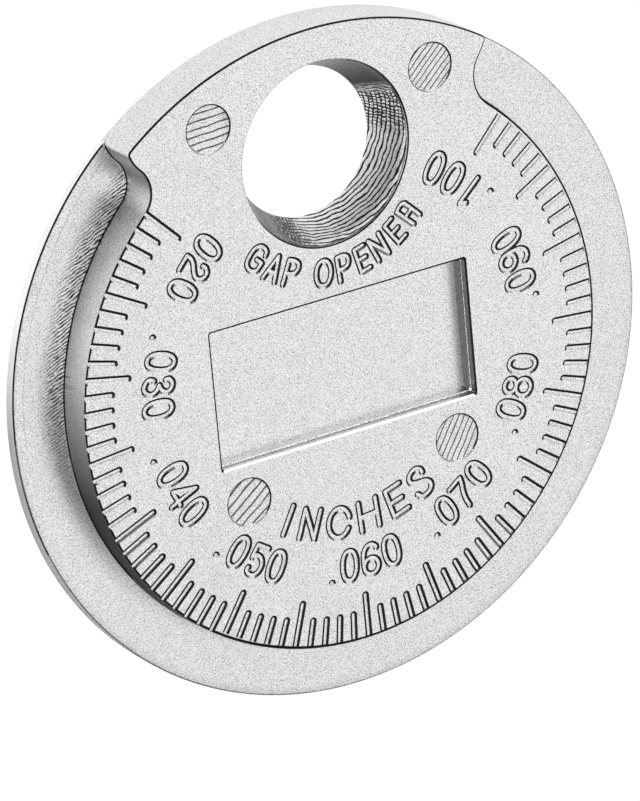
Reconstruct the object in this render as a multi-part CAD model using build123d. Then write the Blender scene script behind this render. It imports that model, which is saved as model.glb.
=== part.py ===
from build123d import *
import math
import os

# A coin-shaped spark plug gap gauge, cast in one piece. It lies on its flat back.
# The origin is on the disc's axis at the back, +Z runs towards the face and +Y towards the hole.
# Lengths are in millimetres. Angles are in degrees, counter-clockwise from +X.

# Coin
outer_radius = 19.1
thickness = 3.0
rim_width = 3.08
disc_radius = outer_radius - rim_width

# Edges: round at the hole's mouth and the lug's corners, bevelled round the face and the back
mouth_edge_radius = 0.2
corner_radius = 0.3
face_bevel = 0.16
back_bevel = 0.12

# Scale: a reading is in thousandths of an inch, and the rim is as thick as the reading beside it says
thousandth = 0.0254
first_reading = 20
last_reading = 100
scale_middle_angle = 270.0
step_angle = 3.4

# Rim: its ramp runs on under the lug by some readings, and its cutter reaches past both its sides
ramp_overrun = 6
ramp_points = 25
ramp_margin = 3.0

# Divisions cut into the face, their lengths measured inwards from the disc's wall
long_every = 5
division_width = 0.3
division_depth = 0.16
division_bluntness = 0.6
short_division = 1.77
long_division = 2.72

# Lug: each end leaves the disc's wall on a tangent, a little past the scale's last division there,
# as a hollow that turns outwards, and then a crest that turns back and crosses the rim
left_end_angle = 0.4
left_hollow_radius = 1.75
left_hollow_angle = 90.5
left_crest_radius = 2.36
right_end_angle = 3.7
right_hollow_radius = 2.03
right_hollow_angle = 83.9
right_crest_radius = 6.64
crest_angle = 60.0

# Hole through the lug, which hooks over a plug's side electrode and bends it
hole_mouth_radius = 5.1
hole_outer_wall = 1.95
hole_centre_y = outer_radius - hole_outer_wall - hole_mouth_radius
hole_throat_radius = 4.18
hole_throat_height = 0.45
hole_back_radius = 4.55

# Sunk rectangle with a step half-way down its wall
recess_length = 16.2
recess_width = 8.0
recess_depth = 0.9
recess_step_depth = 0.43
recess_step_width = 0.12
recess_corner_radius = 0.15

# Marks that the ejector pins left: a pair in the lug, each side of the hole, and a pair below the recess
pin_mark_radius = 1.35
pin_mark_depth = 0.05
upper_pin_inset = 2.45
upper_pin_angle = 24.5
lower_pin_inset = 1.5
lower_pin_drop = 2.1


def angle_of(reading):
    """The scale is centred at the bottom of the coin and climbs counter-clockwise."""
    middle_reading = (first_reading + last_reading) / 2
    return scale_middle_angle + (reading - middle_reading) * step_angle


def flank(side, end_angle, hollow_radius, hollow_angle, crest_radius):
    """One end of the lug, from the disc's wall outwards. Side is 1 on the left and -1 on the right."""
    angle = math.radians(end_angle)
    start = (disc_radius * math.cos(angle), disc_radius * math.sin(angle))
    along = (side * math.sin(angle), -side * math.cos(angle))
    hollow = JernArc(start, along, hollow_radius, side * hollow_angle)
    crest = JernArc(hollow @ 1, hollow % 1, crest_radius, -side * crest_angle)
    return hollow, crest


def raised_part():
    """The disc with its lug, at full thickness."""
    left_end = angle_of(first_reading) + left_end_angle
    right_end = angle_of(last_reading) + right_end_angle
    left = flank(1, left_end, left_hollow_radius, left_hollow_angle, left_crest_radius)
    right = flank(-1, right_end, right_hollow_radius, right_hollow_angle, right_crest_radius)
    over = ThreePointArc(left[1] @ 1, (0, 2 * outer_radius), right[1] @ 1)
    under = ThreePointArc(left[0] @ 0, (0, -disc_radius), right[0] @ 0)
    outline = make_face(left[0] + left[1] + over + right[1] + right[0] + under)
    return extrude(outline & Circle(outer_radius), thickness)


def ramp_line(radius):
    """The rim's top at one radius: it climbs by a thousandth of an inch with each division."""
    low = first_reading - ramp_overrun
    high = last_reading + ramp_overrun
    points = []
    for i in range(ramp_points):
        reading = low + (high - low) * i / (ramp_points - 1)
        angle = math.radians(angle_of(reading))
        points.append((radius * math.cos(angle), radius * math.sin(angle), reading * thousandth))
    return Spline(*points).edge()


def space_above_rim():
    inner = ramp_line(disc_radius - ramp_margin)
    outer = ramp_line(outer_radius + ramp_margin)
    return Solid.extrude(Face.make_surface_from_curves(inner, outer), (0, 0, thickness))


def hole():
    """Tapers from the face to a throat just above the back, and flares out below it."""
    back = (hole_back_radius, 0)
    throat = (hole_throat_radius, hole_throat_height)
    mouth = (hole_mouth_radius, thickness)
    section = make_face(Polyline((0, 0), back, throat, mouth, (0, thickness), close=True))
    return Pos(0, hole_centre_y, 0) * revolve(Plane.XZ * section, Axis.Z)


def is_lug_corner(edge):
    """An upright edge on the coin's outside, apart from the seam of the round wall at y = 0."""
    middle = edge @ 0.5
    on_outside = math.hypot(middle.X, middle.Y) > outer_radius - corner_radius
    return on_outside and middle.Y > disc_radius / 2


def soften_edges(body):
    """A casting has no sharp edge."""
    corners = body.edges().filter_by(Axis.Z).filter_by(is_lug_corner)
    body = fillet(corners, corner_radius)
    face_edges = body.edges().filter_by_position(Axis.Z, thickness, thickness)
    mouth = face_edges.filter_by(lambda edge: edge.is_closed)
    body = chamfer(face_edges - mouth, face_bevel)
    face_edges = body.edges().filter_by_position(Axis.Z, thickness, thickness)
    body = fillet(face_edges.filter_by(lambda edge: edge.is_closed), mouth_edge_radius)
    back_edges = body.edges().filter_by_position(Axis.Z, 0, 0)
    return chamfer(back_edges, back_bevel)


def sunk(outline, depth):
    """The space of a flat-bottomed recess in the face."""
    return Pos(0, 0, thickness - depth) * extrude(outline, depth)


def recess():
    floor_length = recess_length - 2 * recess_step_width
    floor_width = recess_width - 2 * recess_step_width
    upper = RectangleRounded(recess_length, recess_width, recess_corner_radius)
    lower = RectangleRounded(floor_length, floor_width, recess_corner_radius)
    return sunk(upper, recess_step_depth) + sunk(lower, recess_depth)


def division(reading):
    """A groove with a blunt inner tip that runs out through the disc's wall."""
    is_long = (reading - first_reading) % long_every == 0
    tip = disc_radius - (long_division if is_long else short_division)
    half = division_width / 2
    blunt = half * division_bluntness
    right = [(disc_radius + half, half), (tip + blunt, half), (tip, half - blunt)]
    left = [(x, -y) for x, y in reversed(right)]
    return Rot(0, 0, angle_of(reading)) * make_face(Polyline(*right, *left, close=True))


def divisions():
    slots = [division(reading) for reading in range(first_reading, last_reading + 1)]
    return sunk(Sketch() + slots, division_depth)


def pin_marks():
    angle = math.radians(upper_pin_angle)
    upper_radius = outer_radius - upper_pin_inset
    upper = (upper_radius * math.sin(angle), upper_radius * math.cos(angle))
    lower = (recess_length / 2 - lower_pin_inset, -recess_width / 2 - lower_pin_drop)
    marks = [Pos(side * x, y, 0) * Circle(pin_mark_radius) for side in (-1, 1) for x, y in (upper, lower)]
    return sunk(Sketch() + marks, pin_mark_depth)


gauge = extrude(Circle(outer_radius), thickness)
gauge -= space_above_rim()
gauge += raised_part()
gauge -= hole()
gauge = soften_edges(gauge)
gauge -= recess()
gauge -= divisions()
gauge -= pin_marks()

os.makedirs("parts", exist_ok=True)
export_step(gauge, "parts/gauge_body.step")
print("gauge_body", round(gauge.volume, 1), "mm3,", len(gauge.faces()), "faces")
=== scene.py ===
import math

import bmesh
import bpy
import numpy as np
from mathutils import Matrix, Vector


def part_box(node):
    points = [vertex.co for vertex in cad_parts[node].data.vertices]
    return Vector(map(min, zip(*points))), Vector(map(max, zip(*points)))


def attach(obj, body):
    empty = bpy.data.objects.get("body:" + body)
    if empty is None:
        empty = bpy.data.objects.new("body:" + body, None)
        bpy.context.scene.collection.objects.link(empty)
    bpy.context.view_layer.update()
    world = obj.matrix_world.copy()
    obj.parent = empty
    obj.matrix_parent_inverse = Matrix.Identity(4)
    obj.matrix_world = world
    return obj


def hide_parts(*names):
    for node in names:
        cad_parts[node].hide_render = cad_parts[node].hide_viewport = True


# %% [markdown]
# A spark plug gap gauge is a cast coin. Its thin rim gets thicker along an engraved scale, and the
# reading beside the place where the rim fills a plug's gap is that gap. A hole through the thick lug
# hooks over the plug's electrode to bend it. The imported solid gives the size, so its box is read first.

# %% Load the frame and read the coin's size
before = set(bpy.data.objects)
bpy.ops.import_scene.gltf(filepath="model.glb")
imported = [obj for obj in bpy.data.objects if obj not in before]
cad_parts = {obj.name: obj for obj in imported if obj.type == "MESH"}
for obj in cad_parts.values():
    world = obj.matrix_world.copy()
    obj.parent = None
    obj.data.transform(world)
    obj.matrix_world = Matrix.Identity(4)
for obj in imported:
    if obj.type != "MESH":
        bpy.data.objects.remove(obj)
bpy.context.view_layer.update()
low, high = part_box("gauge_body")
MM = 0.001
OUTER_RADIUS = (high.x - low.x) / 2
THICKNESS = high.z - low.z
print("coin", round(2000 * OUTER_RADIUS, 2), "mm across and", round(1000 * THICKNESS, 2), "mm thick")

# %% [markdown]
# The photograph looks down at the face from its upper left, about 36 degrees off square. A long lens
# from far away gives its flat perspective. The camera's axes are worked out from where it stands,
# where it looks and which way is up.

# %% Camera
SENSOR = 36.0
LENS = 347.7
CAMERA_PLACE = Vector((-192.3, 148.6, 338.8)) * MM
CAMERA_RIGHT = Vector((0.8493, -0.0864, 0.5207))
CAMERA_UP = Vector((0.2588, 0.9279, -0.2682))


def add_camera():
    """Stands the camera so that its own x and y axes point along the picture's right and up."""
    bpy.ops.object.camera_add(location=CAMERA_PLACE)
    camera = bpy.context.object
    back = CAMERA_RIGHT.cross(CAMERA_UP).normalized()
    up = back.cross(CAMERA_RIGHT).normalized()
    right = up.cross(back)
    camera.rotation_euler = Matrix((right, up, back)).transposed().to_euler()
    camera.data.sensor_fit = "AUTO"
    camera.data.sensor_width = SENSOR
    camera.data.lens = LENS
    camera.data.clip_start = 0.01
    bpy.context.scene.camera = camera


add_camera()
bpy.context.scene.view_settings.view_transform = "Standard"
print("camera", round(CAMERA_PLACE.length, 3), "m from the coin")

# %% [markdown]
# Seen from above, the raised part is the disc with its lug. Each end of the lug leaves the disc as a
# hollow arc and turns over a crest to the rim's edge, like a letter S. A chain of arcs that meet on
# tangents draws this line exactly. It can also be moved inwards or outwards by changing only the radii,
# so every level of the coin gets points that lie above each other.

# %% Measurements of the plan, in millimetres and in degrees counter-clockwise from +X
RIM_RADIUS = OUTER_RADIUS / MM
FACE_Z = THICKNESS / MM
DISC_RADIUS = RIM_RADIUS - 3.08
FIRST_READING, MIDDLE_READING, LAST_READING = 20, 60, 100
THOUSANDTH = 0.0254
STEP_ANGLE = 3.4
BOTTOM = 270.0
LEFT_END, RIGHT_END = 134.4, 409.7
LEFT_HOLLOW, LEFT_TURN, LEFT_CREST = 1.75, 90.5, 2.36
RIGHT_HOLLOW, RIGHT_TURN, RIGHT_CREST = 2.03, 83.9, 6.64
CORNER = 0.3
LUG_SPAN = 65.0
POINT_SPACING = 0.135


def angle_of(reading):
    """The scale is centred at the bottom and climbs counter-clockwise."""
    return BOTTOM + (reading - MIDDLE_READING) * STEP_ANGLE


def reading_at(angle):
    """The reading at an angle, which needn't be a whole number."""
    return MIDDLE_READING + (angle - BOTTOM) / STEP_ANGLE


def polar(radius, degrees, centre=(0.0, 0.0)):
    """A point at some distance and angle from a centre."""
    turn = math.radians(degrees)
    return np.array([centre[0] + radius * math.cos(turn), centre[1] + radius * math.sin(turn)])


def direction(point, centre=(0.0, 0.0)):
    """The angle at which a point is seen from a centre."""
    return math.degrees(math.atan2(point[1] - centre[1], point[0] - centre[0]))


def corner_centre(crest_centre, crest_radius, near):
    """Where a small arc lies that rounds the corner between the crest and the coin's outside."""
    a, b = crest_radius - CORNER, RIM_RADIUS - CORNER
    gap = np.linalg.norm(crest_centre)
    along = (b * b - a * a + gap * gap) / (2 * gap)
    aside = math.sqrt(max(b * b - along * along, 0.0))
    ahead = crest_centre / gap
    sideways = np.array([-ahead[1], ahead[0]])
    return min((ahead * along + sideways * aside * s for s in (1, -1)),
               key=lambda c: np.linalg.norm(c - near))


def flank(end, side, hollow, turn, crest):
    """The arcs of one end of the lug, from the disc outwards. Side is -1 on the right and 1 on the left."""
    hollow_centre = polar(DISC_RADIUS + hollow, end)
    start = end + 180.0
    bend = start + side * turn
    crest_centre = polar(hollow + crest, bend, hollow_centre)
    rounding = corner_centre(crest_centre, crest, polar(hollow, bend, hollow_centre))
    crest_start = bend + 180.0
    crest_stop = direction(rounding, crest_centre)
    crest_stop += 360.0 * round((crest_start - crest_stop) / 360.0)
    outside = direction(rounding)
    outside += 360.0 * round((crest_stop - outside) / 360.0)
    return [
        (hollow_centre, hollow, start, bend, -1),
        (crest_centre, crest, crest_start, crest_stop, 1),
        (rounding, CORNER, crest_stop, outside, 1),
    ]


def plan_arcs():
    """All arcs of the raised part's outline, counter-clockwise from the left end of the scale."""
    right = flank(RIGHT_END, -1, RIGHT_HOLLOW, RIGHT_TURN, RIGHT_CREST)
    left = flank(LEFT_END, 1, LEFT_HOLLOW, LEFT_TURN, LEFT_CREST)
    back = [(c, r, stop, start, sign) for c, r, start, stop, sign in reversed(left)]
    first = right[-1][3]
    last = back[0][2]
    last += 360.0 * round((first + LUG_SPAN - last) / 360.0)
    disc = (np.zeros(2), DISC_RADIUS, LEFT_END, RIGHT_END, 1)
    outside = (np.zeros(2), RIM_RADIUS, first, last, 1)
    return [disc] + right + [outside] + back


ARCS = plan_arcs()


def steps_of(arc):
    """How many steps an arc is divided into, all of nearly the same length."""
    length = arc[1] * math.radians(abs(arc[3] - arc[2]))
    return max(5, round(length / POINT_SPACING))


def outline(inwards):
    """The outline's points when it is moved inwards by some distance, or outwards by a negative one."""
    inwards = np.broadcast_to(inwards, sum(steps_of(arc) for arc in ARCS))
    points = []
    for arc in ARCS:
        centre, radius, start, stop, sign = arc
        steps = steps_of(arc)
        for i in range(steps):
            moved = radius - sign * inwards[len(points)]
            points.append(polar(moved, start + (stop - start) * i / steps, centre))
    return np.array(points)


WALL = outline(0.0)
print("outline", len(WALL), "points in", len(ARCS), "arcs")

# %% [markdown]
# The rim is a helix: its top climbs with the reading. The wall's point and the rim's point beside it
# need the same number, so the rim's points go evenly round each end of the lug and fall on the wall
# where the lug reaches the coin's outside. There the rim has no width, and its points merge.

# %% Rim points beside the wall
def rim_angles():
    """The rim's own angle beside each point of the wall."""
    steps = [steps_of(arc) for arc in ARCS]
    disc_first, disc_last = ARCS[0][2:4]
    outside_first, outside_last = ARCS[4][2:4]
    outside_first += 360.0 * round((disc_last - outside_first) / 360.0)
    outside_last += 360.0 * round((disc_last + LUG_SPAN - outside_last) / 360.0)
    limits = [disc_first, disc_last, outside_first, outside_last, disc_first + 360.0]
    counts = [steps[0], sum(steps[1:4]), steps[4], sum(steps[5:])]
    return np.concatenate([np.linspace(start, stop, count, endpoint=False)
                           for start, stop, count in zip(limits, limits[1:], counts)])


RIM_ANGLES = rim_angles()
IN_LUG_FIRST = sum(steps_of(arc) for arc in ARCS[:4])
IN_LUG_LAST = sum(steps_of(arc) for arc in ARCS[:5])


def rim_height(points):
    """The rim's top beside the scale and a little past its ends, and an even slope back inside the lug."""
    degrees = np.degrees(np.arctan2(points[:, 1], points[:, 0])) % 360.0
    seam = RIM_ANGLES[IN_LUG_LAST] % 360.0
    entry = RIM_ANGLES[IN_LUG_FIRST] % 360.0
    climbing = np.where(degrees > 90.0, degrees, degrees + 360.0)
    height = reading_at(climbing) * THOUSANDTH
    high_end, low_end = reading_at(entry + 360.0) * THOUSANDTH, reading_at(seam) * THOUSANDTH
    share = np.clip((degrees - entry) / (seam - entry), 0.0, 1.0)
    inside = (degrees >= entry) & (degrees <= seam)
    return np.where(inside, high_end + (low_end - high_end) * share, height)


RIM_EDGE = np.array([polar(RIM_RADIUS, angle) for angle in RIM_ANGLES])
GAP = np.linalg.norm(RIM_EDGE - WALL, axis=1)
GAP[IN_LUG_FIRST:IN_LUG_LAST + 1] = 0.0
print("rim", round(float(GAP.max()), 2), "mm wide at most")

# %% [markdown]
# The coin is a stack of rings. A filled circle is added and its corners go to the lowest ring's places.
# Then it is extruded once for each ring above, and the new corners go to that ring's places. That is
# how a lofted shape is made by hand, and it rounds every edge exactly where the casting does.

# %% Helpers that extrude one ring after another
def activate(piece):
    """Selects a piece alone and makes it the active one."""
    bpy.ops.object.select_all(action="DESELECT")
    piece.select_set(True)
    bpy.context.view_layer.objects.active = piece


def put_ring(piece, corners, places):
    """Moves the numbered corners to a ring's places, which are in millimetres."""
    mesh = bmesh.from_edit_mesh(piece.data)
    mesh.verts.ensure_lookup_table()
    for corner, place in zip(corners, places):
        mesh.verts[corner].co = (place[0] * MM, place[1] * MM, place[2] * MM)
    bmesh.update_edit_mesh(piece.data)


def extrude_ring(piece, corners):
    """Extrudes the selected face and returns its new corners in the old order."""
    bpy.ops.mesh.extrude_region_move()
    mesh = bmesh.from_edit_mesh(piece.data)
    mesh.verts.index_update()
    mesh.verts.ensure_lookup_table()
    above = []
    for corner in corners:
        for edge in mesh.verts[corner].link_edges:
            other = edge.other_vert(mesh.verts[corner])
            if other.select:
                above.append(other.index)
                break
    return above


def stack(name, rings):
    """A closed solid through rings of points, all with the same number of points."""
    bpy.ops.mesh.primitive_circle_add(vertices=len(rings[0]), fill_type="NGON")
    piece = bpy.context.object
    piece.name = name
    bpy.ops.object.mode_set(mode="EDIT")
    corners = list(range(len(rings[0])))
    put_ring(piece, corners, rings[0])
    for ring in rings[1:]:
        corners = extrude_ring(piece, corners)
        put_ring(piece, corners, ring)
    bpy.ops.mesh.select_all(action="SELECT")
    bpy.ops.mesh.remove_doubles(threshold=1e-6)
    bpy.ops.mesh.normals_make_consistent(inside=False)
    bpy.ops.object.mode_set(mode="OBJECT")
    return piece


def at_height(points, height):
    """Points of the plan with a height, which is one number or one for each point."""
    return np.column_stack([points, np.broadcast_to(height, len(points))])


# %% Model the coin
BACK_ROUNDING = 0.13
EDGE_ROUNDING = 0.1
FOOT_ROUNDING = 0.09
FACE_ROUNDING, TIGHT_ROUNDING = 0.22, 0.09
ROUNDING_GROWS, ROUNDING_SHRINKS = (44.0, 54.0), (84.0, 98.0)
SHRUNK_SHARE = 0.35
FADE_POINTS = 10
ROUND_STEPS = 4
RIM_STEPS = 6


def quarter(steps):
    """Pairs of (1 - cosine, 1 - sine) from the start of a rounding to its end."""
    turns = [math.pi / 2 * i / steps for i in range(steps + 1)]
    return [(1 - math.cos(turn), 1 - math.sin(turn)) for turn in turns]


def face_rounding():
    """How far the face's edge is rounded: most beside the thick half of the rim, little elsewhere."""
    reading = reading_at(RIM_ANGLES)
    share = np.interp(reading, ROUNDING_GROWS, (0.0, 1.0))
    share *= np.interp(reading, ROUNDING_SHRINKS, (1.0, SHRUNK_SHARE))
    share[IN_LUG_FIRST:] = 0.0
    share[IN_LUG_FIRST - FADE_POINTS:IN_LUG_FIRST] *= np.linspace(1.0, 0.0, FADE_POINTS)
    return TIGHT_ROUNDING + (FACE_ROUNDING - TIGHT_ROUNDING) * share


def coin_rings():
    """The coin's levels: back edge, rim's side, rim, foot of the wall, and the face's edge."""
    rings = []
    face_edge = face_rounding()
    outwards = RIM_EDGE / RIM_RADIUS
    edge = np.minimum(EDGE_ROUNDING, GAP * 0.3)
    foot = np.minimum(FOOT_ROUNDING, GAP * 0.45)
    for across, up in reversed(quarter(ROUND_STEPS)):
        rings.append(at_height(outwards * (RIM_RADIUS - BACK_ROUNDING * across), BACK_ROUNDING * up))
    for across, up in quarter(ROUND_STEPS):
        points = RIM_EDGE - outwards * (edge * across)[:, None]
        rings.append(at_height(points, rim_height(points) - edge * up))
    start, stop = points, outline(-foot)
    for i in range(1, RIM_STEPS):
        points = start + (stop - start) * i / RIM_STEPS
        points[GAP == 0.0] = WALL[GAP == 0.0]
        rings.append(at_height(points, rim_height(points)))
    for across, up in quarter(ROUND_STEPS):
        points = outline(-foot * up)
        rings.append(at_height(points, rim_height(points) + foot * across))
    for across, up in quarter(ROUND_STEPS + 1):
        rings.append(at_height(outline(face_edge * across), FACE_Z - face_edge * up))
    return rings


def split_caps(piece):
    """Divides the faces with many corners into triangles, which keeps each later cut local."""
    activate(piece)
    bpy.ops.object.mode_set(mode="EDIT")
    bpy.ops.mesh.select_mode(type="FACE")
    bpy.ops.mesh.select_all(action="DESELECT")
    bpy.ops.mesh.select_face_by_sides(number=4, type="GREATER", extend=False)
    bpy.ops.mesh.quads_convert_to_tris(quad_method="BEAUTY", ngon_method="BEAUTY")
    bpy.ops.mesh.select_mode(type="VERT")
    bpy.ops.object.mode_set(mode="OBJECT")


coin = stack("cast_gauge", coin_rings())
split_caps(coin)
print("coin", len(coin.data.vertices), "points,", len(coin.data.polygons), "faces")

# %% [markdown]
# The hole, the sunk rectangle, the divisions and the round pin marks are modelled as solids of their
# own, which a Boolean modifier then takes out of the coin. A cutter starts above the face, where it is
# a little wider, so the edge that it leaves is softened as on the casting.

# %% Cut the hole and the sunk rectangle
ABOVE = 0.3
HOLE_CENTRE = np.array([0.0, 12.05])
HOLE_MOUTH, HOLE_THROAT, HOLE_BACK = 5.1, 4.18, 4.55
THROAT_HEIGHT, THROAT_ROUNDING = 0.45, 0.03
TAPER_STEPS = 12
MOUTH_LEAST, MOUTH_MOST = 0.06, 0.16
HOLE_POINTS = 216
RECESS_LENGTH, RECESS_WIDTH, RECESS_DEPTH = 16.2, 8.0, 0.9
RECESS_STEP_DEPTH = 0.43
CORNER_STEPS = 5


def cut(piece, cutter):
    """Takes the cutter out of the piece and removes it."""
    activate(piece)
    boolean = piece.modifiers.new("cut", "BOOLEAN")
    boolean.operation = "DIFFERENCE"
    boolean.solver = "MANIFOLD"
    boolean.object = cutter
    bpy.ops.object.modifier_apply(modifier=boolean.name)
    bpy.data.objects.remove(cutter)
    print("cut:", len(piece.data.polygons), "faces left")


def hole_ring(radius, height):
    """A circle round the hole's centre. Radius and height may differ from point to point."""
    radii = np.broadcast_to(radius, HOLE_POINTS)
    circle = [polar(radii[i], 360.0 * i / HOLE_POINTS, HOLE_CENTRE) for i in range(HOLE_POINTS)]
    return at_height(np.array(circle), height)


def mouth_rounding():
    """The mouth is worn rounder on the side that the electrode is levered against."""
    turns = np.radians(np.arange(HOLE_POINTS) * 360.0 / HOLE_POINTS + 40.0)
    return MOUTH_LEAST + (MOUTH_MOST - MOUTH_LEAST) * np.clip(0.5 + 1.2 * np.cos(turns), 0.0, 1.0)


def hole_rings():
    """From below the back up: the flare, the rounded throat, the taper and the rounded mouth."""
    taper_radius, taper_height = HOLE_THROAT + THROAT_ROUNDING, THROAT_HEIGHT + 0.08
    levels = [
        (HOLE_BACK + 0.12, -ABOVE), (HOLE_BACK + 0.04, 0.0), (HOLE_BACK - 0.02, 0.08),
        (taper_radius, THROAT_HEIGHT - 0.05), (HOLE_THROAT, THROAT_HEIGHT), (taper_radius, taper_height),
    ]
    for share in np.arange(1, TAPER_STEPS) / TAPER_STEPS:
        levels.append((taper_radius + (HOLE_MOUTH - taper_radius) * share,
                       taper_height + (FACE_Z - FACE_ROUNDING - taper_height) * share))
    rings = [hole_ring(radius, height) for radius, height in levels]
    mouth = mouth_rounding()
    for across, up in quarter(ROUND_STEPS + 1):
        rings.append(hole_ring(HOLE_MOUTH + mouth * across, FACE_Z - mouth * up))
    rings.append(hole_ring(HOLE_MOUTH + 4 * mouth, FACE_Z + ABOVE))
    return rings


def rectangle_ring(length, width, corner, height):
    """A rectangle with round corners, counter-clockwise."""
    points = []
    for number, (x, y) in enumerate([(1, 1), (-1, 1), (-1, -1), (1, -1)]):
        centre = (x * (length / 2 - corner), y * (width / 2 - corner))
        turns = [90.0 * (number + i / CORNER_STEPS) for i in range(CORNER_STEPS + 1)]
        points += [polar(corner, turn, centre) for turn in turns]
    return at_height(np.array(points), height)


def recess_rings():
    """Drafted walls with a small sloping step half-way down, and softened edges above and below."""
    levels = [
        (0.26, -RECESS_DEPTH, 0.15), (0.20, -RECESS_STEP_DEPTH - 0.05, 0.15),
        (0.17, -RECESS_STEP_DEPTH - 0.035, 0.15), (0.10, -RECESS_STEP_DEPTH + 0.035, 0.15),
        (0.10, -RECESS_STEP_DEPTH + 0.05, 0.15), (0.08, -0.06, 0.15), (-0.03, 0.0, 0.2), (-0.2, ABOVE, 0.4),
    ]
    return [rectangle_ring(RECESS_LENGTH - 2 * inset, RECESS_WIDTH - 2 * inset, corner, FACE_Z + up)
            for inset, up, corner in levels]


cut(coin, stack("hole", hole_rings()))
cut(coin, stack("recess", recess_rings()))
split_caps(coin)

# %% Cut the divisions, every fifth one longer
DIVISION_WIDTH, DIVISION_DEPTH = 0.3, 0.07
SHORT_DIVISION, LONG_DIVISION = 1.77, 2.72
FIRST_CLOSED = 50
LIP = 0.05
END_STEPS = 8


def slot_ring(start, stop, width, height):
    """A slot along +X with a round inner end and a square outer one."""
    ends = [np.array([stop, -width / 2]), np.array([stop, width / 2])]
    ends += [polar(width / 2, 90.0 + 180.0 * i / END_STEPS, (start, 0.0)) for i in range(END_STEPS + 1)]
    return at_height(np.array(ends), height)


def groove_rings(start, stop):
    """A groove's levels from its floor up, with steep walls and an edge that opens out."""
    levels = [(-0.16, -DIVISION_DEPTH), (-0.14, -LIP), (0.14, 0.0), (0.22, ABOVE)]
    return [slot_ring(start, stop, DIVISION_WIDTH + grow, FACE_Z + up) for grow, up in levels]


def placed_copy(piece, degrees, place=(0.0, 0.0)):
    """A copy with its own mesh, turned about the coin's axis and moved to its place."""
    activate(piece)
    bpy.ops.object.duplicate(linked=False)
    copy = bpy.context.object
    copy.rotation_euler = (0.0, 0.0, math.radians(degrees))
    copy.location = (place[0] * MM, place[1] * MM, 0.0)
    bpy.ops.object.transform_apply(location=True, rotation=True, scale=True)
    return copy


def join(pieces):
    """Makes one object of several."""
    bpy.ops.object.select_all(action="DESELECT")
    for piece in pieces:
        piece.select_set(True)
    bpy.context.view_layer.objects.active = pieces[0]
    bpy.ops.object.join()
    return bpy.context.object


def divisions():
    """Up to the middle of the scale a division runs out over the edge, and from there it ends at it."""
    half = DIVISION_WIDTH / 2
    outer_ends = {"open": DISC_RADIUS + 1, "closed": DISC_RADIUS - FACE_ROUNDING}
    models = {}
    for name, stop in outer_ends.items():
        for length in (SHORT_DIVISION, LONG_DIVISION):
            models[name, length] = stack("division", groove_rings(DISC_RADIUS - length + half, stop))
    copies = []
    for reading in range(FIRST_READING, LAST_READING + 1):
        length = SHORT_DIVISION if reading % 5 else LONG_DIVISION
        outer_end = "open" if reading < FIRST_CLOSED else "closed"
        copies.append(placed_copy(models[outer_end, length], angle_of(reading)))
    for model in models.values():
        bpy.data.objects.remove(model)
    return join(copies)


cut(coin, divisions())

# %% Cut the round marks that the ejector pins left
PIN_RADIUS, PIN_DEPTH = 1.35, 0.05
PIN_POINTS = 48
PIN_PLACES = [(-6.9, 15.15), (6.9, 15.15), (-6.6, -6.1), (6.6, -6.1)]


def pin_mark(place):
    """A shallow round dimple with a softened edge."""
    levels = [(-0.05, -PIN_DEPTH), (0.0, -PIN_DEPTH + 0.02), (0.03, 0.0), (0.1, ABOVE)]
    rings = []
    for grow, up in levels:
        circle = [polar(PIN_RADIUS + grow, 360.0 * i / PIN_POINTS, place) for i in range(PIN_POINTS)]
        rings.append(at_height(np.array(circle), FACE_Z + up))
    return stack("pin_mark", rings)


cut(coin, join([pin_mark(place) for place in PIN_PLACES]))
split_caps(coin)

# %% [markdown]
# The numerals and words were cut into the die with a round tool that followed a template, so every
# stroke has the same width and round ends. Each character is drawn as such strokes round its own
# centre, from lines, ovals and smooth curves. A closed loop starts as a torus, whose corners go to its
# floor, walls and lips. Strokes that cross go into different sets, and each set is cut out by itself.

# %% Strokes and loops of one width
STROKE_DEPTH = 0.07
STROKE_LEVELS = [(-0.12, -STROKE_DEPTH), (-0.11, -LIP), (0.13, 0.0), (0.18, ABOVE)]
CAP_STEPS = 6


def curve(*points, steps=5):
    """A smooth line through points, with even steps between each two of them."""
    points = [np.array(point, float) for point in points]
    points = [2 * points[0] - points[1]] + points + [2 * points[-1] - points[-2]]
    line = []
    for a, b, c, d in zip(points, points[1:], points[2:], points[3:]):
        for t in np.arange(steps) / steps:
            bend = (2 * a - 5 * b + 4 * c - d) * t * t + (3 * b - a - 3 * c + d) * t ** 3
            line.append(b + 0.5 * ((c - a) * t + bend))
    return line + [points[-2]]


def oval(x, y, half_width, half_height, start=0.0, stop=360.0, steps=36, square=2.0):
    """Points round an oval, the last one too. A larger square makes its sides straighter."""
    points = []
    for i in range(steps + 1):
        turn = math.radians(start + (stop - start) * i / steps)
        across, up = math.cos(turn), math.sin(turn)
        points.append(np.array([x + half_width * math.copysign(abs(across) ** (2 / square), across),
                                y + half_height * math.copysign(abs(up) ** (2 / square), up)]))
    return points


def stroke(path, width):
    """An open stroke with round ends."""
    path = np.array(path, float)
    ahead = np.gradient(path, axis=0)
    left = np.column_stack([-ahead[:, 1], ahead[:, 0]]) / np.linalg.norm(ahead, axis=1)[:, None]
    rings = []
    for grow, up in STROKE_LEVELS:
        half = (width + grow) / 2
        far, near = direction(-left[-1]), direction(left[0])
        turns = [180.0 * i / CAP_STEPS for i in range(1, CAP_STEPS)]
        ring = list(path - left * half) + [polar(half, far + turn, path[-1]) for turn in turns]
        ring += list((path + left * half)[::-1]) + [polar(half, near + turn, path[0]) for turn in turns]
        rings.append(at_height(np.array(ring), FACE_Z + up))
    return stack("stroke", rings)


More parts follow.
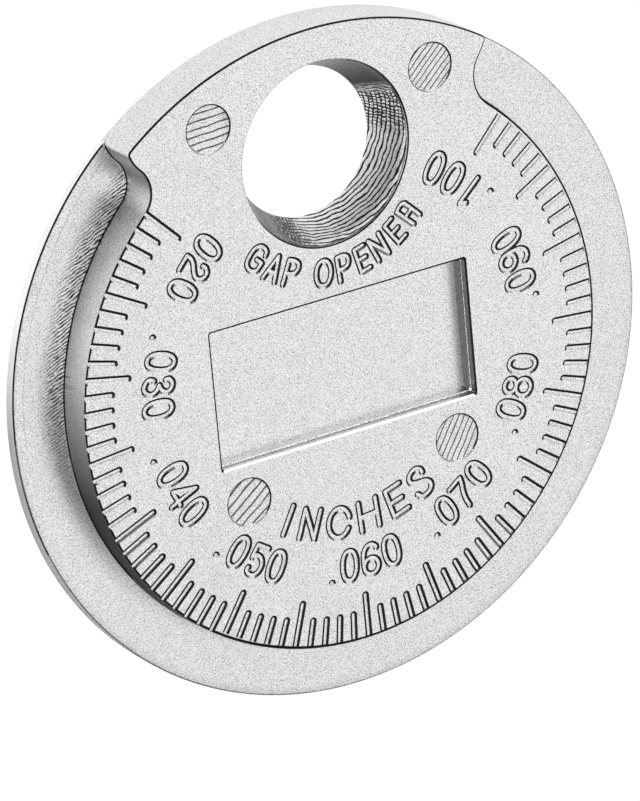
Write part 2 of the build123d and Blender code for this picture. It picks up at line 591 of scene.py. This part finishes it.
def loop(path, width):
    """A closed stroke, whose path runs counter-clockwise and ends where it starts."""
    path = np.array(path, float)[:-1]
    ahead = np.roll(path, -1, axis=0) - np.roll(path, 1, axis=0)
    outwards = np.column_stack([ahead[:, 1], -ahead[:, 0]]) / np.linalg.norm(ahead, axis=1)[:, None]
    section = [((width + grow) / 2, up) for grow, up in STROKE_LEVELS]
    section += [(-across, up) for across, up in reversed(section)]
    bpy.ops.mesh.primitive_torus_add(major_segments=len(path), minor_segments=len(section))
    piece = bpy.context.object
    places = [(*(point + out * across), FACE_Z + up)
              for point, out in zip(path, outwards) for across, up in section]
    for vertex, place in zip(piece.data.vertices, places):
        vertex.co = Vector(place) * MM
    bpy.ops.object.mode_set(mode="EDIT")
    bpy.ops.mesh.select_all(action="SELECT")
    bpy.ops.mesh.normals_make_consistent(inside=False)
    bpy.ops.object.mode_set(mode="OBJECT")
    return piece


def engraved(path, width):
    """A loop if the path ends where it starts, and otherwise an open stroke."""
    return loop(path, width) if np.allclose(path[0], path[-1]) else stroke(path, width)


# %% Draw the ten numerals. Each path has the number of its set beside it
NUMERAL_STROKE = 0.29
NUMERALS = {
    "0": [(oval(0, 0, 0.44, 0.845, square=2.3, steps=40), 0)],
    "1": [([(0, 0.85), (0, -0.85)], 0), ([(-0.31, 0.58), (-0.02, 0.84)], 1)],
    "2": [(curve((-0.42, 0.4), (-0.41, 0.62), (-0.22, 0.84), (0.05, 0.84), (0.29, 0.62),
                 (0.27, 0.3), (0.02, 0.02), (-0.28, -0.25), (-0.42, -0.52), (-0.43, -0.78)), 0),
          ([(-0.43, -0.8), (0.43, -0.8)], 1)],
    "3": [(curve((-0.34, 0.44), (-0.36, 0.66), (-0.12, 0.86), (0.2, 0.8), (0.34, 0.52),
                 (0.2, 0.22), (-0.06, 0.07)), 0),
          (curve((-0.06, 0.07), (0.26, -0.1), (0.42, -0.42), (0.28, -0.76), (-0.02, -0.87),
                 (-0.34, -0.7), (-0.4, -0.46), (-0.32, -0.28)), 1)],
    "4": [([(0.17, 0.86), (0.17, -0.86)], 0), ([(0.17, 0.86), (-0.52, -0.385)], 1),
          ([(-0.52, -0.385), (0.4, -0.385)], 2)],
    "5": [([(-0.36, 0.83), (0.37, 0.83)], 0),
          (curve((-0.36, 0.83), (-0.38, 0.45), (-0.4, 0.08)), 1),
          (curve((-0.4, 0.12), (-0.12, 0.29), (0.2, 0.17), (0.38, -0.16), (0.34, -0.54),
                 (0.12, -0.81), (-0.18, -0.83), (-0.39, -0.68), (-0.38, -0.5)), 2)],
    "6": [(oval(0.0, -0.38, 0.45, 0.465, steps=30), 0),
          (curve((-0.45, -0.34), (-0.45, 0.1), (-0.36, 0.55), (-0.12, 0.82), (0.16, 0.85),
                 (0.37, 0.72), (0.43, 0.6)), 1)],
    "7": [([(-0.46, 0.83), (0.44, 0.83)], 0),
          (curve((0.44, 0.83), (0.31, 0.5), (0.07, 0.05), (-0.08, -0.38), (-0.16, -0.86)), 1)],
    "8": [(oval(0.0, 0.49, 0.4, 0.375, steps=28), 0),
          (oval(0.02, -0.37, 0.47, 0.475, steps=32), 1)],
}
NUMERALS["9"] = [([-point for point in path], cut_set) for path, cut_set in NUMERALS["6"]]


# %% Draw the letters of the words
INCH_STROKE, OPENER_STROKE = 0.3, 0.275

INCH_LETTERS = {
    "I": [([(0, 0.83), (0, -0.83)], 0)],
    "N": [([(-0.5, -0.83), (-0.47, 0.81)], 0), ([(-0.47, 0.81), (0.47, -0.81)], 1),
          ([(0.47, -0.81), (0.5, 0.83)], 2)],
    "C": [(oval(0, -0.02, 0.66, 0.83, 18, 334, steps=34), 0)],
    "H": [([(-0.56, -0.83), (-0.54, 0.83)], 0), ([(0.56, -0.83), (0.55, 0.83)], 1),
          ([(-0.55, -0.02), (0.55, 0.0)], 2)],
    "E": [([(-0.49, 0.83), (-0.49, -0.83)], 0), ([(-0.49, 0.81), (0.46, 0.83)], 1),
          ([(-0.49, -0.02), (0.33, -0.02)], 1), ([(-0.49, -0.83), (0.5, -0.8)], 1)],
    "S": [(curve((0.44, 0.38), (0.42, 0.62), (0.2, 0.82), (-0.12, 0.83), (-0.42, 0.62),
                 (-0.42, 0.3), (-0.1, 0.06), (0.3, -0.14), (0.52, -0.45), (0.38, -0.76),
                 (0.05, -0.87), (-0.3, -0.8), (-0.47, -0.5)), 0)],
}
OPENER_LETTERS = {
    "G": [(curve((0.37, 0.38), (0.3, 0.6), (0.02, 0.7), (-0.26, 0.62), (-0.44, 0.3),
                 (-0.46, -0.1), (-0.38, -0.5), (-0.1, -0.7), (0.22, -0.68), (0.42, -0.48),
                 (0.43, -0.22)), 0),
          ([(0.43, -0.22), (0.43, -0.04)], 1), ([(0.43, -0.04), (0.04, -0.04)], 2)],
    "A": [([(0.0, 0.69), (-0.4, -0.69)], 0), ([(0.0, 0.69), (0.4, -0.69)], 1),
          ([(-0.26, -0.22), (0.26, -0.22)], 2)],
    "P": [([(-0.35, -0.69), (-0.35, 0.69)], 0),
          (curve((-0.35, 0.69), (0.02, 0.7), (0.28, 0.58), (0.34, 0.32), (0.22, 0.06),
                 (-0.05, -0.03), (-0.35, -0.03)), 1)],
    "O": [(oval(0, 0, 0.46, 0.7, square=2.15, steps=36), 0)],
    "E": [([(-0.28, 0.69), (-0.28, -0.69)], 0), ([(-0.28, 0.69), (0.3, 0.7)], 1),
          ([(-0.28, 0.02), (0.24, 0.02)], 1), ([(-0.28, -0.69), (0.3, -0.69)], 1)],
    "N": [([(-0.36, -0.69), (-0.36, 0.69)], 0), ([(-0.36, 0.69), (0.36, -0.69)], 1),
          ([(0.36, -0.69), (0.36, 0.69)], 2)],
    "R": [([(-0.3, -0.69), (-0.33, 0.66)], 0),
          (curve((-0.33, 0.66), (0.0, 0.71), (0.27, 0.6), (0.31, 0.32), (0.31, -0.02),
                 (0.31, -0.36), (0.3, -0.69)), 1),
          ([(-0.32, -0.02), (0.31, -0.02)], 2)],
}

# %% Place every character and cut the sets out
NUMERAL_RADIUS, DOT_RADIUS, DOT_SIZE = 11.54, 12.35, 0.33
DOT_STEPS = 14
INCH_RADIUS, OPENER_RADIUS = 8.95, 6.69
NUMERAL_PLACES = {
    ".020": (None, 131.2, 138.0, 144.4), ".030": (158.0, 164.0, 170.7, 177.1),
    ".040": (190.6, 196.4, 203.4, 209.6), ".050": (223.6, 229.2, 236.0, 242.4),
    ".060": (260.7, 266.0, 272.7, 279.4), ".070": (293.0, 298.8, 305.4, 312.1),
    ".080": (326.3, 331.6, 338.2, 344.6), ".090": (3.1, 8.5, 15.3, 21.4),
    ".100": (35.9, 41.4, 47.9, 54.8),
}
DOT_PLACES = [polar(DOT_RADIUS, angles[0]) for angles in NUMERAL_PLACES.values() if angles[0] is not None]
INCH_PLACES = [("I", -28.9), ("N", -19.7), ("C", -7.7), ("H", 4.3), ("E", 16.3), ("S", 26.7)]
OPENER_PLACES = [("G", -44.9), ("A", -34.1), ("P", -23.9), ("O", -6.4), ("P", 4.6), ("E", 14.7), ("N", 24.5),
                 ("E", 35.4), ("R", 45.7)]


def characters():
    """Every character's name, width of stroke, strokes, place and turn."""
    found = []
    for word, angles in NUMERAL_PLACES.items():
        for numeral, angle in zip(word[1:], angles[1:]):
            place = polar(NUMERAL_RADIUS, angle)
            found.append((numeral, NUMERAL_STROKE, NUMERALS[numeral], place, angle + 90.0))
    for letter, angle in INCH_PLACES:
        place = polar(INCH_RADIUS, BOTTOM + angle)
        found.append((letter + "_inch", INCH_STROKE, INCH_LETTERS[letter], place, angle))
    for letter, angle in OPENER_PLACES:
        place = polar(OPENER_RADIUS, BOTTOM + angle, HOLE_CENTRE)
        found.append((letter + "_opener", OPENER_STROKE, OPENER_LETTERS[letter], place, angle))
    return found


def engraving_sets():
    """Models each character's strokes once and copies them to all their places, sorted into sets."""
    models, sets = {}, {}
    for name, width, strokes, place, turn in characters():
        if name not in models:
            models[name] = [(engraved(path, width), cut_set) for path, cut_set in strokes]
        for model, cut_set in models[name]:
            sets.setdefault(cut_set, []).append(placed_copy(model, turn, place))
    for centre in DOT_PLACES:
        dot = oval(*centre, DOT_SIZE / 2, DOT_SIZE / 2, steps=DOT_STEPS)[:-1]
        rings = [at_height(centre + (np.array(dot) - centre) * (1 + grow / DOT_SIZE), FACE_Z + up)
                 for grow, up in STROKE_LEVELS]
        sets[0].append(stack("dot", rings))
    for strokes in models.values():
        for model, cut_set in strokes:
            bpy.data.objects.remove(model)
    return [join(sets[number]) for number in sorted(sets)]


for engraving in engraving_sets():
    cut(coin, engraving)

# %% [markdown]
# Rounded edges need smooth shading and flat faces need flat shading. Shade smooth by angle keeps the
# sharp inner corners, and the Weighted Normal modifier lets the large flat faces decide how the light
# falls at their borders. Last, the face's and the back's own normals are set straight up and down, so
# both stay even right up to each engraved stroke.

# %% Shade the coin
SMOOTH_BELOW = 24.0


def smooth(piece):
    """Smooth shading over all edges that bend by less than SMOOTH_BELOW degrees."""
    activate(piece)
    bpy.ops.object.shade_smooth_by_angle(angle=math.radians(SMOOTH_BELOW))
    weighted = piece.modifiers.new("weighted", "WEIGHTED_NORMAL")
    weighted.mode = "FACE_AREA"
    weighted.keep_sharp = True
    weighted.weight = 100
    bpy.ops.object.modifier_apply(modifier=weighted.name)


def level_face_normals(piece):
    """Turns the nearly upright normals of the face and the back straight up and down, so both stay even."""
    mesh = piece.data
    normals = [corner.vector.copy() for corner in mesh.corner_normals]
    upright = math.cos(math.radians(SMOOTH_BELOW))
    for number, corner in enumerate(mesh.loops):
        height = mesh.vertices[corner.vertex_index].co.z
        if abs(height - THICKNESS) < 1e-7 and normals[number].z > upright:
            normals[number] = Vector((0.0, 0.0, 1.0))
        if abs(height) < 1e-7 and normals[number].z < -upright:
            normals[number] = Vector((0.0, 0.0, -1.0))
    mesh.normals_split_custom_set(normals)


smooth(coin)
level_face_normals(coin)
print("coin", sum(len(face.vertices) - 2 for face in coin.data.polygons), "triangles")

# %% [markdown]
# Shader maths is easier to read as a formula than as a row of nodes. This class stands for one output
# socket: arithmetic on it adds Math nodes, and its one method adds any other node.

# %% A small wrapper for shader sockets
class Socket:
    """One output socket of a node tree."""

    def __init__(self, tree, socket=None):
        self.tree = tree
        self.socket = socket

    def node(self, kind, inputs=None, output=0, **settings):
        """Adds a node: its settings first, then the values or links of its sockets."""
        made = self.tree.nodes.new(kind)
        for name, value in settings.items():
            setattr(made, name, value)
        for name, value in (inputs or {}).items():
            if isinstance(value, Socket):
                self.tree.links.new(value.socket, made.inputs[name])
            else:
                made.inputs[name].default_value = value
        return Socket(self.tree, made.outputs[output] if len(made.outputs) else None)

    def math(self, operation, first, second=0.0, clamp=False):
        return self.node("ShaderNodeMath", {0: first, 1: second}, operation=operation, use_clamp=clamp)

    def __add__(self, other):
        return self.math("ADD", self, other)

    def __radd__(self, other):
        return self.math("ADD", other, self)

    def __sub__(self, other):
        return self.math("SUBTRACT", self, other)

    def __rsub__(self, other):
        return self.math("SUBTRACT", other, self)

    def __mul__(self, other):
        return self.math("MULTIPLY", self, other)

    def clamped(self):
        return self.math("ADD", self, 0.0, clamp=True)


def new_material(name):
    """A material with nothing but its output, and its node tree's wrapper."""
    material = bpy.data.materials.new(name)
    material.use_nodes = True
    material.node_tree.nodes.clear()
    return material, Socket(material.node_tree)


# %% [markdown]
# The gauge is a zinc die casting with a thin bright plating. The plating follows the cast skin, so the
# face is satin: it shines as a whole, but fine grain breaks the shine into a speckle. Rough noise at
# a tenth of a millimetre gives the grain, in height and roughness, and slow noise gives faint clouds.

# %% The cast and plated metal
def place_of(nodes):
    """Where a point lies on the coin, in millimetres."""
    place = nodes.node("ShaderNodeTexCoord", output="Object")
    return nodes.node("ShaderNodeVectorMath", {0: place, "Scale": 1000.0}, operation="SCALE")


def along(nodes, place, axis):
    """How far a point lies along a direction."""
    return nodes.node("ShaderNodeVectorMath", {0: place, 1: axis}, output="Value", operation="DOT_PRODUCT")


def noise(nodes, place, scale, detail=2.0):
    """Noise about zero, whose lumps are one millimetre wide divided by the scale."""
    return nodes.node("ShaderNodeTexNoise", {"Vector": place, "Scale": scale, "Detail": detail,
                                             "Roughness": 0.55}) - 0.5


def ramp(nodes, value, low, high):
    """0 up to the low value and 1 from the high one."""
    return nodes.node("ShaderNodeMapRange", {0: value, 1: low, 2: high, 3: 0.0, 4: 1.0})


def wave(nodes, cycles):
    """A sine wave, which comes round once for every whole cycle."""
    return nodes.math("SINE", cycles * (2.0 * math.pi))


def cast_metal(name="cast_skin", lightness=0.93, gloss=0.34, grain_depth=1.0, marks_and_shade=None):
    """The casting's skin. The last argument is a function that gives 1 where the skin gets marks, painted
    shade or both, and 0 elsewhere.
    """
    material, nodes = new_material(name)
    place = place_of(nodes)
    turned = nodes.node("ShaderNodeMapping", {"Vector": place, "Rotation": (0.6, 0.5, 0.4)})
    grain = noise(nodes, turned, 17.0, 1.0)
    pits = noise(nodes, turned, 8.0, 1.0)
    clouds = noise(nodes, turned, 0.3)
    shade = 1.0 - 0.14 * grain_depth + grain * (2.4 * grain_depth) + clouds * 0.06
    height = grain * 0.6 + pits * 0.4
    if marks_and_shade is not None:
        mark_and_shade = marks_and_shade(nodes, place)
        shade = shade * (1.0 - mark_and_shade)
        height = height - mark_and_shade
    colour = nodes.node("ShaderNodeMix", {0: shade.clamped(), 6: (0.012, 0.012, 0.012, 1.0),
                                          7: (lightness, lightness, 0.995 * lightness, 1.0)},
                        output=2, data_type="RGBA")
    roughness = gloss + pits * 0.2
    bump = nodes.node("ShaderNodeBump", {"Height": height, "Strength": 0.5, "Distance": 0.00002})
    surface = nodes.node("ShaderNodeBsdfPrincipled", {
        "Base Color": colour, "Metallic": 1.0, "Roughness": roughness.clamped(), "Normal": bump})
    nodes.node("ShaderNodeOutputMaterial", {"Surface": surface})
    return material


# %% [markdown]
# Some places of the casting look different from its skin. Tool lines run round the hole's bore, the
# ejector pins left scratches, and ripples stand where the thin rim cooled first. Two stretches of the
# bore and a stretch of the disc's wall are painted dark as shade. Each has a function that darkens the
# skin there with lines, noise or ramps. The bore's places are angles round the hole in radians, and
# the spacings are lines in a millimetre or turn.

# %% Marks and painted shade of the bore, the disc's wall, the ejector pins and the thin rim
# Turns round the hole, in radians, where the bore is painted dark as shade.
PAINTED_SHADE_ABOVE, PAINTED_SHADE_LEFT = (0.42, 0.62), (-2.35, -1.75)
ROUGH_ABOVE, ROUGH_LEFT = 0.36, -2.05
TOOL_LINES, CROSS_LINES = 3.7, 22.0


def bore_marks(nodes, place):
    """Wavy tool lines round the bore, short ones across them, and two stretches painted dark as shade."""
    x, y, z = (along(nodes, place, axis) for axis in ((1, 0, 0), (0, 1, 0), (0, 0, 1)))
    turn = nodes.math("ARCTAN2", y - float(HOLE_CENTRE[1]), x)
    wander = noise(nodes, place, 0.55) * 2.6
    lines = wave(nodes, z * TOOL_LINES - turn * 3.0 + wander)
    across = wave(nodes, turn * CROSS_LINES + noise(nodes, place, 1.4) * 2.4 + z * 0.6)
    broken = noise(nodes, place, 3.0) * 4.0
    shade_above, shade_left = ramp(nodes, turn, *PAINTED_SHADE_ABOVE), 1.0 - ramp(nodes, turn, *PAINTED_SHADE_LEFT)
    rough_above = 1.0 - ramp(nodes, nodes.math("ABSOLUTE", turn - ROUGH_ABOVE), 0.25, 0.5)
    rough_left = 1.0 - ramp(nodes, nodes.math("ABSOLUTE", turn - ROUGH_LEFT), 0.1, 0.4)
    line = ((lines - 0.32 + broken * 0.45) * 6.0).clamped() * (1.0 - shade_above)
    rough = (rough_above + rough_left).clamped()
    cross = ((across + 0.10 + rough_left * 0.6 + broken) * 5.0).clamped() * rough
    # The two dark stretches of the bore are painted shade.
    painted_dark = shade_above * 0.985 + shade_left * 0.95
    return nodes.math("MAXIMUM", nodes.math("MAXIMUM", line * 0.98, cross * 0.95), painted_dark)


def wall_painted_shade(nodes, place):
    """Painted shade on a stretch of the disc's wall beside the thin half of the rim, which fades out at both
    ends.
    """
    x, y = (along(nodes, place, axis) for axis in ((1, 0, 0), (0, 1, 0)))
    turn = nodes.math("ARCTAN2", 0.0 - y, 0.0 - x)
    return ramp(nodes, turn, -0.30, 0.28) * (1.0 - ramp(nodes, turn, 0.95, 1.2)) * 0.86


PIN_LINES = [(3.0, 0.40), (42.0, 0.30), (36.0, 0.46), (58.0, 0.34)]


def pin_marks(nodes, place):
    """Scratches across each pin's mark, which have a slant in degrees and a spacing in millimetres."""
    total = 0.0
    broken = noise(nodes, place, 1.3) * 4.0
    for (px, py), (slant, spacing) in zip(PIN_PLACES, PIN_LINES):
        away = nodes.node("ShaderNodeVectorMath", {0: place, 1: (px, py, FACE_Z)}, output="Value",
                          operation="DISTANCE")
        turn = math.radians(slant)
        side = along(nodes, place, (-math.sin(turn), math.cos(turn), 0.0))
        lines = wave(nodes, side * (1.0 / spacing) + noise(nodes, place, 0.7) * 0.5)
        inside = nodes.math("LESS_THAN", away, PIN_RADIUS - 0.02)
        total = total + ((lines - 0.70) * 5.0 + broken * 0.45).clamped() * inside * 0.85
    return total


RIPPLE_SLANT, RIPPLES = 20.0, 5.6


def ripple_marks(nodes, place):
    """Short slanting ripples in the rim's skin where the metal cooled first, beside the thin end's foot."""
    x, y = (along(nodes, place, axis) for axis in ((1, 0, 0), (0, 1, 0)))
    radius = nodes.math("POWER", x * x + y * y, 0.5)
    slant = math.radians(RIPPLE_SLANT)
    with_it = along(nodes, place, (math.cos(slant), math.sin(slant), 0.0))
    across = along(nodes, place, (-math.sin(slant), math.cos(slant), 0.0))
    ripples = wave(nodes, across * RIPPLES + noise(nodes, place, 1.1) * 2.2)
    long_spot = nodes.node("ShaderNodeCombineXYZ", {0: with_it * 2.6, 1: across * RIPPLES, 2: 0.0})
    broken = noise(nodes, long_spot, 1.0, 1.0) * 4.0
    thin_end = ramp(nodes, y, -4.5, 1.5)
    wide = 1.0 - ramp(nodes, radius, DISC_RADIUS + 0.9, DISC_RADIUS + 2.6)
    narrow = 1.0 - ramp(nodes, radius, DISC_RADIUS + 0.7, DISC_RADIUS + 1.7)
    faint = ((ripples + broken * 0.5 - 0.6) * 2.0).clamped() * wide * 0.25
    strong = ((ripples + broken - 0.25) * 5.0).clamped() * narrow * 0.95
    edge_line = 1.0 - ramp(nodes, nodes.math("ABSOLUTE", radius - (RIM_RADIUS - 0.62)), 0.02, 0.07)
    return nodes.math("MAXIMUM", nodes.math("MAXIMUM", faint, strong), edge_line * 0.25) * thin_end


# %% [markdown]
# The gauge is one piece of one metal with ten finishes. The narrow lips of the strokes and edges are
# painted black or grey as shade, and so are the sunk rectangle's right wall, a stretch of the disc's
# wall and two stretches of the bore. The rim's side, the bore, the thin rim and some bright edges have
# lighter bases, which are painted light. A face gets its finish by where it lies and how it slopes,
# since all the cuts are in one mesh.

# %% The ten finishes
MATERIALS = [
    cast_metal(),
    # Near-black painted shade for the lips of strokes and edges.
    cast_metal("outline", lightness=0.03, gloss=0.4, grain_depth=0.4),
    # Grey painted shade for lips that partly face the light.
    cast_metal("groove", lightness=0.18, gloss=0.2, grain_depth=0.4),
    # Painted shade for the right wall of the sunk rectangle.
    cast_metal("recess_wall_painted_shade", lightness=0.36, gloss=0.26, grain_depth=0.6),
    # A smoother edge with a lighter base, which is a painted highlight.
    cast_metal("painted_highlight_edge", lightness=0.95, gloss=0.16, grain_depth=0.5),
    # The bore's lighter base is painted light, and its two dark stretches are painted shade.
    cast_metal("bore", lightness=0.98, gloss=0.3, grain_depth=0.6, marks_and_shade=bore_marks),
    # Painted shade on a stretch of the disc's wall.
    cast_metal("disc_wall_painted_shade", grain_depth=0.7, marks_and_shade=wall_painted_shade),
    cast_metal("pin_face", marks_and_shade=pin_marks),
    # Real ripples, on a lighter base that is painted light beside the wall's foot.
    cast_metal("ripple_and_painted_light", lightness=0.97, gloss=0.36, marks_and_shade=ripple_marks),
    # A lighter base on the rim's side, which is a painted highlight.
    cast_metal("side_painted_bright", lightness=0.99, gloss=0.2, grain_depth=0.3),
]
FINISHES = [material.name for material in MATERIALS]
coin.data.materials.clear()
for material in MATERIALS:
    coin.data.materials.append(material)


# %% Sort the faces by place and slope
# Stroke lips that face away from these lit sides are painted black or grey as shade.
LIT_SIDE, LIT_UPPER_RIGHT = Vector((0.27, 0.963, 0.0)), Vector((-0.5, 0.866, 0.0))
LEVEL, STEEP = 0.995, 0.12
SCALE_FROM, INNER_END = 13.0, 0.45
BLACK_SHADE_MOUTH = (-150.0, 70.0)
# The rim's edge is painted black and then grey as shade between these turns, and the thin rim's foot is
# painted black as shade.
THIN_RIM, BLACK_SHADE_EDGE, GREY_SHADE_EDGE = (120.0, 215.0), (120.0, 180.0), (180.0, 200.0)
# Away from the lug the rim's side gets a painted highlight, and the disc's wall between the second pair of
# turns gets painted shade.
LUG_SIDE, PAINTED_SHADE_WALL = (49.0, 128.0), (158.0, 252.0)


def between(value, limits):
    """Whether a value lies inside its limits."""
    return limits[0] < value < limits[1]


def lip_finish(normal, bright_from, lit_towards=LIT_SIDE):
    """A stroke's edge is painted black as shade, grey as lighter shade where it partly faces the lug, and
    keeps the skin where it faces the lug.
    """
    flat = Vector((normal.x, normal.y, 0.0))
    facing = flat.dot(lit_towards) / max(flat.length, 1e-6)
    return "cast_skin" if facing > bright_from else "groove" if facing > bright_from - 0.12 else "outline"


def hole_finish(x, y, slope):
    """The bore has tool lines and painted shade. Its mouth is rounded, with its edge below and to the right
    painted black as shade.
    """
    if slope < 0.5:
        return "bore"
    round_hole = math.degrees(math.atan2(y - HOLE_CENTRE[1], x))
    return "outline" if slope > 0.8 and between(round_hole, BLACK_SHADE_MOUTH) else "cast_skin"


def recess_finish(x, z, normal):
    """The sunk rectangle's edges are painted black as shade except the lower one, its right wall is painted
    dark as shade, and the lower edge and the step half-way down are bright, with a painted highlight.
    """
    if z > FACE_Z - 0.06:
        return "outline" if normal.y < -0.1 or abs(normal.x) > 0.1 else "painted_highlight_edge"
    if 0.3 < normal.z < 0.9 and abs(z - FACE_Z + RECESS_STEP_DEPTH) < 0.03:
        return "painted_highlight_edge"
    return "recess_wall_painted_shade" if normal.x < -0.3 and x > 0.0 else "cast_skin"


def rim_finish(place, turn, from_axis, slope):
    """The finish of the thin rim, the rim's edge and side and the disc's wall, or None elsewhere. The thin
    rim's foot and the rim's left edge get painted shade, the rim's side a painted highlight and a stretch of
    the disc's wall painted shade.
    """
    above_rim = place[2] - float(rim_height(np.array([place[:2]]))[0])
    inside_edge = RIM_RADIUS - EDGE_ROUNDING
    on_rim = between(from_axis, (DISC_RADIUS - 0.5, inside_edge)) and abs(above_rim) < 0.1
    if on_rim and between(turn, THIN_RIM) and slope > 0.1:
        return "ripple_and_painted_light" if slope > 0.95 else "outline"
    if from_axis > inside_edge and 0.1 < slope < 0.98:
        if between(turn, BLACK_SHADE_EDGE):
            return "outline"
        if between(turn, GREY_SHADE_EDGE):
            return "groove"
    if from_axis > RIM_RADIUS - 0.03 and abs(slope) < 0.1 and not between(turn, LUG_SIDE):
        return "side_painted_bright"
    if abs(from_axis - DISC_RADIUS) < 0.05 and abs(slope) < 0.3 and between(turn, PAINTED_SHADE_WALL):
        return "disc_wall_painted_shade"
    return None


def stroke_finish(x, y, z, from_axis, normal):
    """The lips of the divisions, numerals and words, and the rounded edge of the face, painted black or grey
    as shade where they don't keep the skin.
    """
    if from_axis > DISC_RADIUS - FACE_ROUNDING and z > FACE_Z - FACE_ROUNDING:
        return "outline"
    if z < FACE_Z - LIP - 0.002:
        return "cast_skin"
    if from_axis > DISC_RADIUS - INNER_END and normal.x * x + normal.y * y < -0.3 * from_axis:
        return "cast_skin"
    if from_axis > SCALE_FROM and x > 0.0 and y > 3.0:
        return lip_finish(normal, 0.82, LIT_UPPER_RIGHT)
    if any(math.hypot(x - px, y - py) < DOT_SIZE for px, py in DOT_PLACES):
        return lip_finish(normal, 0.35)
    return lip_finish(normal, 0.82 if from_axis > SCALE_FROM else 0.93)


def finish_of(face):
    """Which finish a face has, found by its place and slope."""
    x, y, z = face.center / MM
    slope = face.normal.z
    from_axis, from_hole = math.hypot(x, y), math.hypot(x, y - HOLE_CENTRE[1])
    turn = math.degrees(math.atan2(y, x)) % 360.0
    if from_hole < HOLE_MOUTH + MOUTH_MOST and slope < LEVEL and z > 0.01:
        return hole_finish(x, y, slope)
    in_pin_mark = any(math.hypot(x - px, y - py) < PIN_RADIUS + 0.03 for px, py in PIN_PLACES)
    if in_pin_mark and -PIN_DEPTH - 0.001 < z - FACE_Z < -0.001:
        return "pin_face" if slope > 0.98 else lip_finish(face.normal, 0.5)
    on_rim = rim_finish((x, y, z), turn, from_axis, slope)
    if on_rim:
        return on_rim
    in_recess = abs(x) < RECESS_LENGTH / 2 + 0.15 and abs(y) < RECESS_WIDTH / 2 + 0.15
    if in_recess and slope < LEVEL and z > 1.0:
        return recess_finish(x, z, face.normal)
    if not STEEP < slope < LEVEL or z > FACE_Z - 0.0005:
        return "cast_skin"
    return stroke_finish(x, y, z, from_axis, face.normal)


for face in coin.data.polygons:
    face.material_index = FINISHES.index(finish_of(face))
for number, finish in enumerate(FINISHES):
    print(finish, sum(face.material_index == number for face in coin.data.polygons), "faces")

# %% [markdown]
# The gauge was photographed on a white table under large soft lights. A satin metal shows its lights
# as a blurred mirror does, so the main light stands where the face mirrors the camera's view to, and
# the space beside it stays darker, because that is what the thin dark lines round the strokes reflect.
# The coin mirrors the table only behind it, and the table is clear from below and just under the coin,
# so that the back can be looked at too.

# %% Floor, world and lights
FLOOR_BELOW = 0.02 * MM
WHITE = (1.0, 1.0, 1.0, 1.0)
LIGHT_DISTANCE = 0.6


def white_floor():
    """A white table just under the coin's back, which is clear from below so that the back can be seen."""
    bpy.ops.mesh.primitive_plane_add(size=3.0, location=(0.0, 0.0, -FLOOR_BELOW))
    floor = bpy.context.object
    floor.name = "floor"
    material, nodes = new_material("floor_white")
    path = nodes.tree.nodes.new("ShaderNodeLightPath")
    camera_ray = Socket(nodes.tree, path.outputs["Is Camera Ray"])
    glossy_ray = Socket(nodes.tree, path.outputs["Is Glossy Ray"])
    place = nodes.node("ShaderNodeTexCoord", output="Object")
    behind = ramp(nodes, along(nodes, place, (0, 1, 0)), 0.0, 7.0 * MM)
    seen = camera_ray * 0.95 + glossy_ray * behind * 0.95
    diffuse = nodes.node("ShaderNodeBsdfDiffuse", {"Color": (0.86, 0.86, 0.86, 1.0)})
    light = nodes.node("ShaderNodeEmission", {"Color": WHITE, "Strength": 1.05})
    white = nodes.node("ShaderNodeMixShader", {0: seen.clamped(), 1: diffuse, 2: light})
    clear = nodes.node("ShaderNodeBsdfTransparent", {"Color": WHITE})
    from_below = nodes.node("ShaderNodeNewGeometry", output="Backfacing")
    ray_length = Socket(nodes.tree, path.outputs["Ray Length"])
    under_coin = nodes.math("LESS_THAN", ray_length, 3 * FLOOR_BELOW) * glossy_ray
    unseen = nodes.math("MAXIMUM", from_below, under_coin)
    mixed = nodes.node("ShaderNodeMixShader", {0: unseen, 1: white, 2: clear})
    nodes.node("ShaderNodeOutputMaterial", {"Surface": mixed})
    floor.data.materials.append(material)


def studio_world():
    """A dim room above the table and a light one under it. The camera sees both as white."""
    world = bpy.data.worlds.new("studio")
    world.use_nodes = True
    world.node_tree.nodes.clear()
    nodes = Socket(world.node_tree)
    path = nodes.tree.nodes.new("ShaderNodeLightPath")
    camera_ray = Socket(nodes.tree, path.outputs["Is Camera Ray"])
    outwards = nodes.node("ShaderNodeTexCoord", output="Generated")
    under = ramp(nodes, along(nodes, outwards, (0.0, 0.0, -1.0)), 0.05, 0.3)
    room = nodes.node("ShaderNodeBackground", {"Color": WHITE, "Strength": under * 0.62 + 0.08})
    white = nodes.node("ShaderNodeBackground", {"Color": WHITE, "Strength": 1.0})
    mixed = nodes.node("ShaderNodeMixShader", {0: camera_ray, 1: room, 2: white})
    nodes.node("ShaderNodeOutputWorld", {"Surface": mixed})
    bpy.context.scene.world = world


def soft_light(name, towards, width, height, radiance):
    """A rectangular light that faces the coin. Its radiance is what a mirror would show of it."""
    place = Vector(towards).normalized() * LIGHT_DISTANCE
    bpy.ops.object.light_add(type="AREA", location=place)
    lamp = bpy.context.object
    lamp.name = name
    lamp.data.shape = "RECTANGLE"
    lamp.data.size = width
    lamp.data.size_y = height
    lamp.data.energy = radiance * math.pi * width * height
    lamp.rotation_euler = place.to_track_quat("Z", "Y").to_euler()


white_floor()
studio_world()
soft_light("main_light", (0.50, -0.24, 0.84), 0.52, 0.52, 1.06)
soft_light("camera_light", (-0.52, 0.16, 0.84), 0.42, 0.36, 1.9)
soft_light("left_light", (-0.84, -0.26, 0.47), 0.30, 0.20, 1.3)
soft_light("back_light", (0.46, 0.54, 0.70), 0.34, 0.34, 1.8)
soft_light("low_light", (-0.21, -0.25, 0.94), 0.16, 0.16, 2.0)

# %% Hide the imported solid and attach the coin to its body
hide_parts("gauge_body")
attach(coin, "root")
